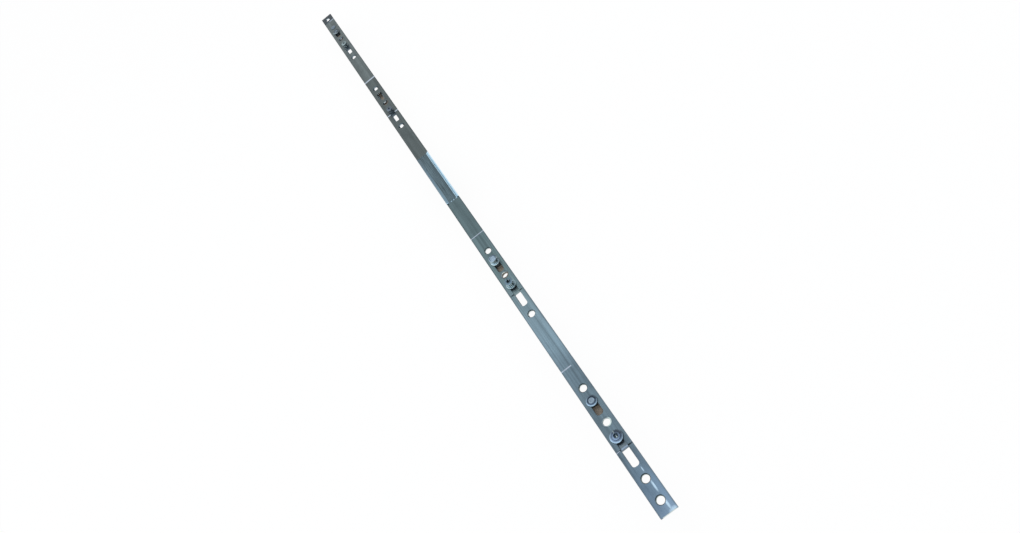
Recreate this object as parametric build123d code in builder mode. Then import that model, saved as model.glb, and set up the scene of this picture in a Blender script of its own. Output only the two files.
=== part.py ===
# Faceplate espagnolette for a window sash, 16 mm faceplate, single drive rod.
#
# The faceplate strip is made of four plates and an end tab, with a bright folded cover over the
# gearbox in the middle. A flat drive rod slides behind the strip. A square-holed follower in the
# gearbox meshes with a rack under the rod, and seven locking cams stand on the rod and travel
# in slots of the strip.
#
# Frame: the origin is the centre of the follower's square hole, +X runs along the strip towards
# the near end, +Y is the spindle axis, and +Z points out of the faceplate. Millimetres.

import os
from math import acos, cos, pi, radians, sin, sqrt, tan

from build123d import *

os.makedirs("parts", exist_ok=True)

# Strip
STRIP_WIDTH = 16.0
STRIP_THICK = 2.0
BACKSET = 15.5  # front face of the strip to the spindle axis
FAR_REACH = 434.0  # spindle axis to the far end of the strip
NEAR_REACH = 449.0  # spindle axis to the near end of the strip
END_TAB_LENGTH = 16.6
FAR_SEAM_X = -234.0
NEAR_SEAM_X = 107.0
SEAM_GAP = 0.2
SEAM_BEVEL = 0.8
SCREW_HOLE_D = 6.8
SCREW_SINK_D = 8.4
FAR_HOLE_INSET = 9.3
NEAR_HOLE_INSET = 11.6
CROP_LINE_AT = 65.0  # the scored line, from the first hole of a cam station
CROP_LINE_WIDTH = 1.3

# Cam stations: the first screw hole of each, and the pattern that starts there
FAR_END_X = -397.0
FAR_X = -210.5
NEAR_X = 133.0
NEAR_END_X = 322.5
ROLLER_AT = 15.0  # with the rod at its open end
ROLLER_SHIFTS = {"near": 3.0}  # how much further on a station's roller and short slot stand
ECCENTRIC_AT = {"far_end": 57.5, "far": 57.5, "near": 53.0, "near_end": 53.0}
HOLE_PITCH = 38.0
LAST_HOLE_AT = 95.0
LONG_SLOT_START = 50.1
LONG_SLOT_END = 83.0
SLOT_WIDTH = 6.8
SLOT_CORNER = 2.6
LINE_MARK_BACK = 24.5  # stamped line ahead of the near end station
LINE_MARK_LENGTH = 10.4  # from the edge of the strip

# Drive
GEAR_MODULE = 1.0
FOLLOWER_TEETH = 15
PRESSURE_ANGLE = 20.0
FOLLOWER_TURN = 89.4  # degrees, handle from open to locked
RACK_ADDENDUM = 0.85
GEAR_DEDENDUM = 1.25
TOOTH_THINNING = 0.12
ROD_WIDTH = 10.0
ROD_THICK = 2.5
ROD_PLAY = 0.1  # between the rod and the strip, and the rod and what backs it
ROD_SLOT_WIDTH = {"far_end": 5.0, "far": 4.6, "near": 6.2, "near_end": 7.2}  # at each station
ROD_FAR_INSET = 6.2  # rod's far end, from the first hole of its station
ROD_NEAR_AT = 64.8  # rod's near end, from the first hole of its station
ROD_WINDOW_AT = {"far_end": 66.5, "far": 65.5, "near": 63.6}  # far end of the rod's long slots
ROD_SLOT_AT = {"far_end": 18.6, "far": 8.0, "near": 21.6, "near_end": 18.6}  # and of the middle ones
ROD_SLOT_CORNER = 1.0
RIVET_SLOT_PLAY = 0.15
LAP_LENGTH = 12.0
LAP_RIVET_D = 3.0
LAP_RIVET_SPREAD = 6.0
NEAR_LAP_X = 70.0
FAR_LAP_X = -74.0
RACK_WIDTH = 6.0
RACK_FAR_TEETH = 6  # on the far side of the tooth that stands over the follower
RACK_NEAR_TEETH = 4

# Cams, each a stack of steps: diameter, thickness, and 1 where the step stands off the pin's axis
LOW_ROLLER = [(10.3, 0.8, 1), (7.4, 0.8, 1)]
LOW_ECCENTRIC = [(11.6, 0.9, 1), (7.6, 0.8, 1)]
TALL_CAM = [(10.0, 0.9, 1), (7.2, 4.3, 1), (8.4, 1.5, 1)]
MUSHROOM = [(6.4, 0.8, 0), (4.2, 4.0, 0), (7.4, 1.3, 1)]
PIN_D = 5.2
PIN_PLAY = 0.05
SLOT_END_PLAY = 0.3
CAM_GAP = 0.3  # under a flanged cam, above the strip
CAM_EDGE = 0.3
CAM_OFFSET = 0.6
STUD_SHANK_D = 4.0
STUD_HEAD_D = 6.0
STUD_HEAD_THICK = 0.8
RECESS_D = 6.4
RECESS_DEEP = 0.9
HEX_KEY = (3.5, 2.4)  # across the flats, and deep
HEX_KEY_SMALL = (2.5, 1.1)  # in the mushroom's thin head
MARK_WIDTH = 0.6  # line on an eccentric's top that shows how far it is turned
MARK_DEEP = 0.35
PEEN_D = 7.0
PEEN_THICK = 1.1

# Rod guides, splices and their rivets
GROOVE_WIDTH = 11.8  # what lies behind the strip fits a 12 mm hardware groove
GUIDE_START = 6.5
GUIDE_LENGTH = 39.5
GUIDE_FLOOR = 2.0
GUIDE_SIDE_PLAY = 0.05
GUIDE_HOLE_FROM = {"far_end": 34.0, "far": 34.0, "near": 32.6, "near_end": 31.0}
GUIDE_HOLE_TO = 41.6  # both from the first hole of the station
GUIDE_HOLE_WIDTH = 7.2
GUIDE_TAB_LENGTH = 5.0
GUIDE_TAB_HEIGHT = 1.2
GUIDE_TABS_AT = (13.0, 43.0)
EYELET_OUTER_D = 7.6
EYELET_BORE_D = 6.8
EYELET_RIM_D = 9.0
EYELET_RIM_THICK = 0.5
EYELET_SEAT = 0.4
SPLICE_THICK = 2.0
SPLICE_RIVET_REACH = 10.0
SPLICE_SHORT_REACH = 4.0  # towards the screw hole of the far station
SPLICE_END_MARGIN = 5.0
SHOULDER_D = 5.0
RIVET_SHANK_D = 3.6
RIVET_HEAD_D = 6.0
RIVET_HEAD_THICK = 0.9
TONGUE_THICK = 2.0
TONGUE_REACH = 25.9
TONGUE_LAP = 3.6
TONGUE_WIDTH = 11.4
TAB_CORNER = 0.4
TAB_RIVET_D = 5.0
TAB_RIVET_HEAD_D = 7.4
TAB_RIVET_HEAD_THICK = 1.1

# Gearbox
COVER_LENGTH = 90.0
COVER_SHEET = 1.4
COVER_FLOOR_WIDTH = 10.6
COVER_RECESS = 0.5  # floor of the cover, below the face of the strip
COVER_RISE = 1.3  # lip of the cover, above the face of the strip
COVER_TEETH = 4
COVER_TOOTH_DEEP = 0.9
SKIRT_THICK = 0.8
SKIRT_FROM = 30.0
SKIRT_TO = 40.0
SKIRT_BOTTOM = 1.4
CASE_HALF_LENGTH = 42.0
CASE_SHOULDER_Z = 1.5
CASE_WAIST_X = 28.0
CASE_WAIST_Z = -7.5
CASE_FOOT_X = 10.0
CASE_FOOT_Z = -12.5
CASE_CAVITY = 6.2  # inside width
GEAR_POCKET_PLAY = 0.4
RACK_POCKET_PLAY = 2.0
LUG_LENGTH = 20.0
LUG_THICK = 3.0
LUG_RIVET_X = 54.0
SPINDLE = 7.0
HUB_D = 11.2
HUB_PLAY = 0.05
HANDLE_SCREW_SPACING = 43.0
HANDLE_SCREW_D = 5.5
CASE_RIVET_D = 2.6
LOW_RIVET_X = 14.0
LOW_RIVET_Z = -7.4
HIGH_RIVET_X = 35.0
HIGH_RIVET_Z = 4.2

# Levels and places that follow from the sizes above
PITCH_R = GEAR_MODULE * FOLLOWER_TEETH / 2
STROKE = PITCH_R * radians(FOLLOWER_TURN)
FACE_Z = BACKSET
BACK_Z = FACE_Z - STRIP_THICK
ROD_TOP = BACK_Z - ROD_PLAY
ROD_BOTTOM = ROD_TOP - ROD_THICK
BACKING_Z = ROD_BOTTOM - ROD_PLAY  # top of what lies behind the rod
CAM_BASE = FACE_Z + CAM_GAP
SLOT_REACH = PIN_D / 2 + SLOT_END_PLAY  # slot past the axis of the pin that travels in it
GUIDE_WALL = (GROOVE_WIDTH - ROD_WIDTH) / 2 - GUIDE_SIDE_PLAY
HALF_COVER = COVER_LENGTH / 2
TAB_SEAM_X = END_TAB_LENGTH - FAR_REACH
RACK_TIP_Z = PITCH_R - RACK_ADDENDUM
RACK_ROOT_Z = PITCH_R + GEAR_DEDENDUM
CASE_HALF_WIDTH = GROOVE_WIDTH / 2
LID_FACE_Y = CASE_CAVITY / 2

STATIONS = {"far_end": FAR_END_X, "far": FAR_X, "near": NEAR_X, "near_end": NEAR_END_X}
ROLLERS = {"far_end": LOW_ROLLER, "near": TALL_CAM, "near_end": LOW_ROLLER}
ECCENTRICS = {
    "far_end": (MUSHROOM, ROD_TOP, HEX_KEY_SMALL),
    "far": (MUSHROOM, ROD_TOP, HEX_KEY_SMALL),
    "near": (TALL_CAM, CAM_BASE, HEX_KEY),
    "near_end": (LOW_ECCENTRIC, CAM_BASE, HEX_KEY),
}
ROLLER_X = {name: start + ROLLER_AT + ROLLER_SHIFTS.get(name, 0) for name, start in STATIONS.items()}
ECCENTRIC_X = {name: start + ECCENTRIC_AT[name] for name, start in STATIONS.items()}
FAR_SPLICE_RIVETS = [FAR_SEAM_X - SPLICE_RIVET_REACH, FAR_SEAM_X + SPLICE_SHORT_REACH]
NEAR_SPLICE_RIVETS = [NEAR_SEAM_X - SPLICE_RIVET_REACH, NEAR_SEAM_X + SPLICE_RIVET_REACH]
SHOULDER_RIVETS = FAR_SPLICE_RIVETS + [-LUG_RIVET_X, LUG_RIVET_X] + NEAR_SPLICE_RIVETS


def save(part, name):
    """Labels a finished piece and writes its file."""
    part.label = name
    export_step(part, f"parts/{name}.step")


def guide_tabs(start):
    """Where the tabs of a station's rod guide stand in the strip."""
    y = (GROOVE_WIDTH - GUIDE_WALL) / 2
    return [(start + at, side * y) for at in GUIDE_TABS_AT for side in (-1, 1)]


def strip_plate(name, x_from, x_to, stations=(), holes=(), rivets=(), marks=(), square=None):
    """One plate of the strip, with the holes, slots and scored lines of its stations."""
    starts = [STATIONS[station] for station in stations]
    screws = list(holes) + [x + at for x in starts for at in (0, LAST_HOLE_AT) if x + at not in rivets]
    slots = [(ROLLER_X[s] - SLOT_REACH, ROLLER_X[s] + STROKE + SLOT_REACH) for s in stations]
    slots += [(x + LONG_SLOT_START, x + LONG_SLOT_END) for x in starts]
    lines = [(x + CROP_LINE_AT, 0, STRIP_WIDTH) for x in starts]
    lines += [(x, (LINE_MARK_LENGTH - STRIP_WIDTH) / 2, LINE_MARK_LENGTH) for x in marks]
    sink_deep = (SCREW_SINK_D - SCREW_HOLE_D) / 2

    with BuildPart() as plate:
        with BuildSketch(Plane.XY.offset(BACK_Z)):
            with Locations(((x_from + x_to) / 2, 0)):
                Rectangle(x_to - x_from, STRIP_WIDTH)
            for left, right in slots:
                with Locations(((left + right) / 2, 0)):
                    RectangleRounded(right - left, SLOT_WIDTH, SLOT_CORNER, mode=Mode.SUBTRACT)
        extrude(amount=STRIP_THICK)
        rims = plate.edges().filter_by(Axis.Y).group_by(Axis.Z)[-1]
        rims = [edge for edge in rims if edge.length > SLOT_WIDTH]
        chamfer([edge for edge in rims if abs(edge.center().X - (square or 1e6)) > 1], SEAM_BEVEL)
        for x in screws:
            with Locations((x, 0, FACE_Z)):
                Hole(SCREW_HOLE_D / 2)
            with Locations((x, 0, FACE_Z - sink_deep / 2)):
                Cone(SCREW_HOLE_D / 2, SCREW_SINK_D / 2, sink_deep, mode=Mode.SUBTRACT)
        for start in starts:
            with Locations((start + HOLE_PITCH, 0, FACE_Z)):
                CounterBoreHole(EYELET_OUTER_D / 2, EYELET_RIM_D / 2, EYELET_SEAT)
            with Locations(*[(x, y, BACK_Z + GUIDE_TAB_HEIGHT / 2) for x, y in guide_tabs(start)]):
                Box(GUIDE_TAB_LENGTH, GUIDE_WALL, GUIDE_TAB_HEIGHT, mode=Mode.SUBTRACT)
        for x in rivets:
            with Locations((x, 0, FACE_Z)):
                Hole(TAB_RIVET_D / 2)
        for x, y, length in lines:
            with Locations((x, y, FACE_Z)):
                Box(CROP_LINE_WIDTH / sqrt(2), length, CROP_LINE_WIDTH / sqrt(2),
                    rotation=(0, 45, 0), mode=Mode.SUBTRACT)
    save(plate.part, name)


def make_end_tab():
    """The tab at the far end: face level with the strip, tongue riveted under the first plate."""
    x_from = -FAR_REACH
    x_to = TAB_SEAM_X - SEAM_GAP / 2
    tongue_from = x_to - TONGUE_LAP
    tongue_to = TAB_SEAM_X + TONGUE_REACH
    with BuildPart() as tab:
        with BuildSketch(Plane.XY.offset(BACK_Z)):
            with Locations(((x_from + x_to) / 2, 0)):
                Rectangle(x_to - x_from, STRIP_WIDTH)
        extrude(amount=STRIP_THICK)
        chamfer(tab.edges().filter_by(Axis.Y).group_by(Axis.Z)[-1].sort_by(Axis.X)[-1:], SEAM_BEVEL)
        fillet(tab.edges().filter_by(Axis.Z).sort_by(Axis.X)[:2], TAB_CORNER)
        with BuildSketch(Plane.XY.offset(BACK_Z - TONGUE_THICK)):
            with Locations(((tongue_from + tongue_to) / 2, 0)):
                Rectangle(tongue_to - tongue_from, TONGUE_WIDTH)
        extrude(amount=TONGUE_THICK)
        with Locations((FAR_HOLE_INSET - FAR_REACH, 0, FACE_Z)):
            Hole(SCREW_HOLE_D / 2)
        with Locations((FAR_END_X, 0, FACE_Z)):
            Hole(TAB_RIVET_D / 2)
    save(tab.part, "end_tab")

    with BuildPart() as rivet:
        with BuildSketch(Plane.XY.offset(BACK_Z - TONGUE_THICK)):
            with Locations((FAR_END_X, 0)):
                Circle(TAB_RIVET_D / 2)
        extrude(amount=TONGUE_THICK + STRIP_THICK)
        with BuildSketch(Plane.XY.offset(FACE_Z)):
            with Locations((FAR_END_X, 0)):
                Circle(TAB_RIVET_HEAD_D / 2)
        extrude(amount=TAB_RIVET_HEAD_THICK)
        fillet(rivet.edges().filter_by(GeomType.CIRCLE).sort_by(Axis.Z)[-1:], TAB_RIVET_HEAD_THICK - 0.1)
    save(rivet.part, "tab_rivet")


def make_strip():
    """The four plates of the strip."""
    gap = SEAM_GAP / 2
    strip_plate("far_end_faceplate", TAB_SEAM_X + gap, FAR_SEAM_X - gap, ["far_end"], rivets=[FAR_END_X])
    strip_plate("far_faceplate", FAR_SEAM_X + gap, -HALF_COVER - gap, ["far"], square=-HALF_COVER)
    strip_plate("near_faceplate", HALF_COVER + gap, NEAR_SEAM_X - gap, square=HALF_COVER)
    strip_plate("near_end_faceplate", NEAR_SEAM_X + gap, NEAR_REACH, ["near", "near_end"],
                holes=[NEAR_REACH - NEAR_HOLE_INSET], marks=[NEAR_END_X - LINE_MARK_BACK], square=NEAR_REACH)


def make_splice(name, places):
    """A strap behind the rod that joins two plates of the strip."""
    x_from = places[0] - SPLICE_END_MARGIN
    x_to = places[1] + SPLICE_END_MARGIN
    with BuildPart() as strap:
        with BuildSketch(Plane.XY.offset(BACKING_Z - SPLICE_THICK)):
            with Locations(((x_from + x_to) / 2, 0)):
                Rectangle(x_to - x_from, GROOVE_WIDTH)
            for x in places:
                with Locations((x, 0)):
                    Circle(RIVET_SHANK_D / 2, mode=Mode.SUBTRACT)
        extrude(amount=SPLICE_THICK)
        fillet(strap.edges().filter_by(Axis.Z).group_by(Axis.X)[0], TAB_CORNER)
        fillet(strap.edges().filter_by(Axis.Z).group_by(Axis.X)[-1], TAB_CORNER)
    save(strap.part, name)


def make_shoulder_rivets():
    """Rivets welded to the back of the strip; their shoulder keeps the rod's room behind it."""
    for x in SHOULDER_RIVETS:
        is_lug = abs(x) == LUG_RIVET_X
        backing = LUG_THICK if is_lug else SPLICE_THICK
        kind = "lug_rivet" if is_lug else "splice_rivet"
        levels = [
            (RIVET_HEAD_D, BACKING_Z - backing - RIVET_HEAD_THICK, RIVET_HEAD_THICK),
            (RIVET_SHANK_D, BACKING_Z - backing, backing),
            (SHOULDER_D, BACKING_Z, BACK_Z - BACKING_Z),
        ]
        with BuildPart() as rivet:
            for diameter, level, length in levels:
                with BuildSketch(Plane.XY.offset(level)):
                    with Locations((x, 0)):
                        Circle(diameter / 2)
                extrude(amount=length)
        side = "far" if x < 0 else "near"
        number = "" if is_lug else f"_{1 + (x in (FAR_SPLICE_RIVETS[1], NEAR_SPLICE_RIVETS[1]))}"
        save(rivet.part, f"{side}_{kind}{number}")


def make_guides():
    """At each station a plastic rod guide behind the strip, and the eyelet in the middle hole."""
    middle = GUIDE_START + GUIDE_LENGTH / 2
    with BuildPart() as channel:
        with BuildSketch(Plane.XY.offset(BACKING_Z - GUIDE_FLOOR)):
            with Locations((middle, 0)):
                Rectangle(GUIDE_LENGTH, GROOVE_WIDTH)
        extrude(amount=GUIDE_FLOOR)
        with BuildSketch(Plane.XY.offset(BACKING_Z)):
            for side in (-1, 1):
                with Locations((middle, side * (GROOVE_WIDTH - GUIDE_WALL) / 2)):
                    Rectangle(GUIDE_LENGTH, GUIDE_WALL)
        extrude(amount=BACK_Z - BACKING_Z)
        with BuildSketch(Plane.XY.offset(BACK_Z)):
            with Locations(*guide_tabs(0)):
                Rectangle(GUIDE_TAB_LENGTH, GUIDE_WALL)
        extrude(amount=GUIDE_TAB_HEIGHT)

    with BuildPart() as eyelet:
        with BuildSketch(Plane.XY.offset(BACK_Z)):
            with Locations((HOLE_PITCH, 0)):
                Circle(EYELET_OUTER_D / 2)
        extrude(amount=STRIP_THICK)
        with BuildSketch(Plane.XY.offset(FACE_Z - EYELET_SEAT)):
            with Locations((HOLE_PITCH, 0)):
                Circle(EYELET_RIM_D / 2)
        extrude(amount=EYELET_RIM_THICK)
        with Locations((HOLE_PITCH, 0, FACE_Z)):
            Hole(EYELET_BORE_D / 2)

    for name, start in STATIONS.items():
        hole_from = GUIDE_HOLE_FROM[name]
        with BuildPart() as guide:
            add(channel.part)
            with BuildSketch(Plane.XY.offset(BACKING_Z)):
                with Locations(((hole_from + GUIDE_HOLE_TO) / 2, 0)):
                    SlotOverall(GUIDE_HOLE_TO - hole_from, GUIDE_HOLE_WIDTH)
            extrude(amount=-GUIDE_FLOOR, mode=Mode.SUBTRACT)
        save(guide.part.moved(Location((start, 0, 0))), f"{name}_guide")
        save(eyelet.part.moved(Location((start, 0, 0))), f"{name}_eyelet")


def rod_slots():
    """Every slot of the rod as its far end, near end and width: round-ended ones, square ones."""
    screw_r = EYELET_BORE_D / 2
    shoulder_r = SHOULDER_D / 2 + RIVET_SLOT_PLAY
    rounded = [(x - STROKE - screw_r, x + screw_r, ROD_SLOT_WIDTH[name]) for name, x in STATIONS.items()]
    rounded += [(x - STROKE - shoulder_r, x + shoulder_r, 2 * shoulder_r) for x in SHOULDER_RIVETS]
    square = [(STATIONS[name] + at, STATIONS[name] + HOLE_PITCH + screw_r, ROD_SLOT_WIDTH[name])
              for name, at in ROD_SLOT_AT.items()]
    square += [(STATIONS[name] + at, STATIONS[name] + LAST_HOLE_AT + screw_r, ROD_SLOT_WIDTH[name])
               for name, at in ROD_WINDOW_AT.items()]
    return rounded, square


def rod_piece(name, x_from, x_to, lap_from=0, lap_to=0, rack=False):
    """One length of the rod; a lap end keeps its upper (+1) or lower (-1) half."""
    rounded, square = [[slot for slot in kind if slot[1] > x_from and slot[0] < x_to] for kind in rod_slots()]
    pins = [(x, PIN_D + 2 * PIN_PLAY) for x in ECCENTRIC_X.values()]
    pins += [(ROLLER_X[name], STUD_SHANK_D) for name in ROLLERS]
    with BuildPart() as rod:
        with BuildSketch(Plane.XY.offset(ROD_BOTTOM)):
            with Locations(((x_from + x_to) / 2, 0)):
                Rectangle(x_to - x_from, ROD_WIDTH)
            for left, right, width in rounded:
                with Locations(((left + right) / 2, 0)):
                    SlotOverall(right - left, width, mode=Mode.SUBTRACT)
            for left, right, width in square:
                with Locations(((left + right) / 2, 0)):
                    RectangleRounded(right - left, width, ROD_SLOT_CORNER, mode=Mode.SUBTRACT)
            for x, diameter in pins:
                with Locations((x, 0)):
                    Circle(diameter / 2, mode=Mode.SUBTRACT)
        extrude(amount=ROD_THICK)
        for end, inward, keep in ((x_from, 1, lap_from), (x_to, -1, lap_to)):
            if keep:
                level = ROD_BOTTOM if keep > 0 else ROD_TOP - ROD_THICK / 2
                with BuildSketch(Plane.XY.offset(level)):
                    with Locations((end + inward * LAP_LENGTH / 2, 0)):
                        Rectangle(LAP_LENGTH, ROD_WIDTH)
                extrude(amount=ROD_THICK / 2, mode=Mode.SUBTRACT)
        for lap_x in (FAR_LAP_X, NEAR_LAP_X):
            if x_from < lap_x < x_to:
                for side in (-1, 1):
                    with Locations((lap_x + side * LAP_RIVET_SPREAD / 2, 0, ROD_TOP)):
                        Hole(LAP_RIVET_D / 2)
        if rack:
            tooth = GEAR_MODULE * pi
            body_from = -(RACK_FAR_TEETH + 0.5) * tooth
            body_to = (RACK_NEAR_TEETH + 0.5) * tooth
            with BuildSketch(Plane.XY.offset(RACK_ROOT_Z)):
                with Locations(((body_from + body_to) / 2, 0)):
                    Rectangle(body_to - body_from, RACK_WIDTH)
            extrude(amount=ROD_BOTTOM - RACK_ROOT_Z)
            slope = tan(radians(PRESSURE_ANGLE))
            half = (GEAR_MODULE * pi / 2 - TOOTH_THINNING) / 2
            root = half + GEAR_DEDENDUM * slope
            tip = half - RACK_ADDENDUM * slope
            with BuildSketch(Plane.XZ.offset(-RACK_WIDTH / 2)):
                for count in range(-RACK_FAR_TEETH, RACK_NEAR_TEETH + 1):
                    x = count * tooth
                    with BuildLine():
                        Polyline((x - root, RACK_ROOT_Z), (x - tip, RACK_TIP_Z),
                                 (x + tip, RACK_TIP_Z), (x + root, RACK_ROOT_Z), close=True)
                    make_face()
            extrude(amount=RACK_WIDTH)
    save(rod.part, name)


def make_drive():
    """The three lengths of the rod and the rivets of their laps."""
    half_lap = LAP_LENGTH / 2
    far_end = FAR_END_X + ROD_FAR_INSET
    near_end = NEAR_END_X + ROD_NEAR_AT
    rod_piece("far_rod", far_end, FAR_LAP_X + half_lap, lap_to=1)
    rod_piece("rack_rod", FAR_LAP_X - half_lap, NEAR_LAP_X + half_lap, -1, -1, rack=True)
    rod_piece("near_rod", NEAR_LAP_X - half_lap, near_end, lap_from=1)
    with BuildPart() as rivet:
        with BuildSketch(Plane.XY.offset(ROD_BOTTOM)):
            Circle(LAP_RIVET_D / 2)
        extrude(amount=ROD_THICK)
    for side, lap_x in (("far", FAR_LAP_X), ("near", NEAR_LAP_X)):
        for count, x in enumerate((lap_x - LAP_RIVET_SPREAD / 2, lap_x + LAP_RIVET_SPREAD / 2), 1):
            save(rivet.part.moved(Location((x, 0, 0))), f"{side}_lap_rivet_{count}")


def cam_body(steps, base_z, offset=0):
    """A cam built up of its steps from the level of its base, and the level of its top."""
    level = base_z
    with BuildPart() as cam:
        for diameter, thick, stands_off in steps:
            with BuildSketch(Plane.XY.offset(level)):
                with Locations((offset * stands_off, 0)):
                    Circle(diameter / 2)
            extrude(amount=thick)
            level += thick
        chamfer(cam.edges().filter_by(GeomType.CIRCLE).sort_by(Axis.Z)[-1:], CAM_EDGE)
    return cam.part, level


def make_rollers():
    """Plain roller cams: each turns on a collared stud that is riveted into the rod."""
    shank_r = STUD_SHANK_D / 2
    for name, steps in ROLLERS.items():
        body, top = cam_body(steps, CAM_BASE)
        with BuildPart() as roller:
            add(body)
            with Locations((0, 0, top)):
                CounterBoreHole(shank_r + PIN_PLAY, RECESS_D / 2, RECESS_DEEP)
        with BuildPart() as stud:
            with BuildSketch(Plane.XZ):
                with BuildLine():
                    Polyline(
                        (0, ROD_BOTTOM), (shank_r, ROD_BOTTOM), (shank_r, ROD_TOP), (PIN_D / 2, ROD_TOP),
                        (PIN_D / 2, CAM_BASE), (shank_r, CAM_BASE),
                        (shank_r, top - RECESS_DEEP), (STUD_HEAD_D / 2, top - RECESS_DEEP),
                        (STUD_HEAD_D / 2, top - RECESS_DEEP + STUD_HEAD_THICK),
                        (0, top - RECESS_DEEP + STUD_HEAD_THICK), close=True,
                    )
                make_face()
            revolve(axis=Axis.Z)
        place = Location((ROLLER_X[name], 0, 0))
        save(roller.part.moved(place), f"{name}_roller")
        save(stud.part.moved(place), f"{name}_roller_stud")


def make_eccentrics():
    """Adjustable cams: each stands off the axis of the pin that turns in the rod."""
    for name, (steps, base_z, (across, socket_deep)) in ECCENTRICS.items():
        body, top = cam_body(steps, base_z, CAM_OFFSET)
        mark_length = steps[-1][0] / 2
        with BuildPart() as eccentric:
            add(body)
            with BuildSketch(Plane.XY.offset(ROD_BOTTOM - PIN_PLAY)):
                Circle(PIN_D / 2)
            extrude(amount=base_z - ROD_BOTTOM + PIN_PLAY)
            with BuildSketch(Plane.XY.offset(ROD_BOTTOM - PIN_PLAY)):
                Circle(PEEN_D / 2)
            extrude(amount=-PEEN_THICK)
            with BuildSketch(Plane.XY.offset(top)):
                RegularPolygon(across / 2, 6, major_radius=False)
            extrude(amount=-socket_deep, mode=Mode.SUBTRACT)
            with BuildSketch(Plane.XY.offset(top)):
                with Locations((-mark_length / 2, 0)):
                    Rectangle(mark_length, MARK_WIDTH)
            extrude(amount=-MARK_DEEP, mode=Mode.SUBTRACT)
        save(eccentric.part.moved(Location((ECCENTRIC_X[name], 0, 0))), f"{name}_eccentric")


def make_cover():
    """The folded cover over the gearbox: sunk floor, flared lips, toothed end and four skirts."""
    floor_top = FACE_Z - COVER_RECESS
    floor_bottom = floor_top - COVER_SHEET
    lip = FACE_Z + COVER_RISE
    inner = COVER_FLOOR_WIDTH / 2
    outer = STRIP_WIDTH / 2
    half = [
        (inner, floor_top), (outer - 0.9, lip), (outer, lip),
        (outer, BACK_Z + 1.2), (outer - 0.9, floor_bottom),
    ]
    section = [(-y, z) for y, z in reversed(half)] + half
    skirt_x = (SKIRT_FROM + SKIRT_TO) / 2
    skirt_y = CASE_HALF_WIDTH + SKIRT_THICK / 2
    pitch = STRIP_WIDTH / COVER_TEETH
    with BuildPart() as cover:
        with BuildSketch(Plane.YZ.offset(-HALF_COVER)):
            with BuildLine():
                Polyline(*section, close=True)
            make_face()
        extrude(amount=COVER_LENGTH)
        with BuildSketch(Plane.XY.offset(SKIRT_BOTTOM)):
            with Locations(*[(end * skirt_x, side * skirt_y) for end in (-1, 1) for side in (-1, 1)]):
                Rectangle(SKIRT_TO - SKIRT_FROM, SKIRT_THICK)
        extrude(amount=floor_bottom - SKIRT_BOTTOM)
        with BuildSketch(Plane.XY.offset(floor_bottom)):
            for count in range(COVER_TEETH):
                y = (count - (COVER_TEETH - 1) / 2) * pitch
                with BuildLine():
                    Polyline((HALF_COVER, y - pitch / 2), (HALF_COVER - COVER_TOOTH_DEEP, y),
                             (HALF_COVER, y + pitch / 2), close=True)
                make_face()
        extrude(amount=lip - floor_bottom, mode=Mode.SUBTRACT)
        with BuildSketch(Plane.XZ.offset(-STRIP_WIDTH / 2)):
            with Locations((-HIGH_RIVET_X, HIGH_RIVET_Z), (HIGH_RIVET_X, HIGH_RIVET_Z)):
                Circle(CASE_RIVET_D / 2)
        extrude(amount=STRIP_WIDTH, mode=Mode.SUBTRACT)
    save(cover.part, "gearbox_cover")


def case_half(name, y_from, y_to, with_lugs):
    """One half of the gearbox case: the cup with its pockets and lugs, or the flat lid."""
    profile = [
        (-CASE_HALF_LENGTH, BACKING_Z), (-CASE_HALF_LENGTH, CASE_SHOULDER_Z),
        (-CASE_WAIST_X, CASE_WAIST_Z), (-CASE_FOOT_X, CASE_FOOT_Z),
        (CASE_FOOT_X, CASE_FOOT_Z), (CASE_WAIST_X, CASE_WAIST_Z),
        (CASE_HALF_LENGTH, CASE_SHOULDER_Z), (CASE_HALF_LENGTH, BACKING_Z),
    ]
    rivets = [(s * LOW_RIVET_X, LOW_RIVET_Z) for s in (-1, 1)]
    rivets += [(s * HIGH_RIVET_X, HIGH_RIVET_Z) for s in (-1, 1)]
    tooth = GEAR_MODULE * pi
    pocket_from = -(RACK_FAR_TEETH + 0.5) * tooth - RACK_POCKET_PLAY
    pocket_to = (RACK_NEAR_TEETH + 0.5) * tooth + STROKE + RACK_POCKET_PLAY
    pocket_z = RACK_TIP_Z - GEAR_POCKET_PLAY
    with BuildPart() as case:
        with BuildSketch(Plane.XZ.offset(-y_to)):
            with BuildLine():
                Polyline(*profile, close=True)
            make_face()
            with Locations((-HANDLE_SCREW_SPACING / 2, 0), (HANDLE_SCREW_SPACING / 2, 0)):
                Circle(HANDLE_SCREW_D / 2, mode=Mode.SUBTRACT)
            with Locations(*rivets):
                Circle(CASE_RIVET_D / 2, mode=Mode.SUBTRACT)
            Circle(HUB_D / 2 + HUB_PLAY, mode=Mode.SUBTRACT)
        extrude(amount=y_to - y_from)
        if with_lugs:
            with BuildSketch(Plane.XZ.offset(-LID_FACE_Y)):
                Circle(PITCH_R + GEAR_MODULE + GEAR_POCKET_PLAY)
                with Locations(((pocket_from + pocket_to) / 2, (pocket_z + BACKING_Z) / 2)):
                    Rectangle(pocket_to - pocket_from, BACKING_Z - pocket_z)
            extrude(amount=CASE_CAVITY, mode=Mode.SUBTRACT)
            with BuildSketch(Plane.XY.offset(BACKING_Z - LUG_THICK)):
                lug_middle = CASE_HALF_LENGTH + LUG_LENGTH / 2
                with Locations((-lug_middle, 0), (lug_middle, 0)):
                    Rectangle(LUG_LENGTH, GROOVE_WIDTH)
                with Locations((-LUG_RIVET_X, 0), (LUG_RIVET_X, 0)):
                    Circle(RIVET_SHANK_D / 2, mode=Mode.SUBTRACT)
            extrude(amount=LUG_THICK)
    save(case.part, name)


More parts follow.
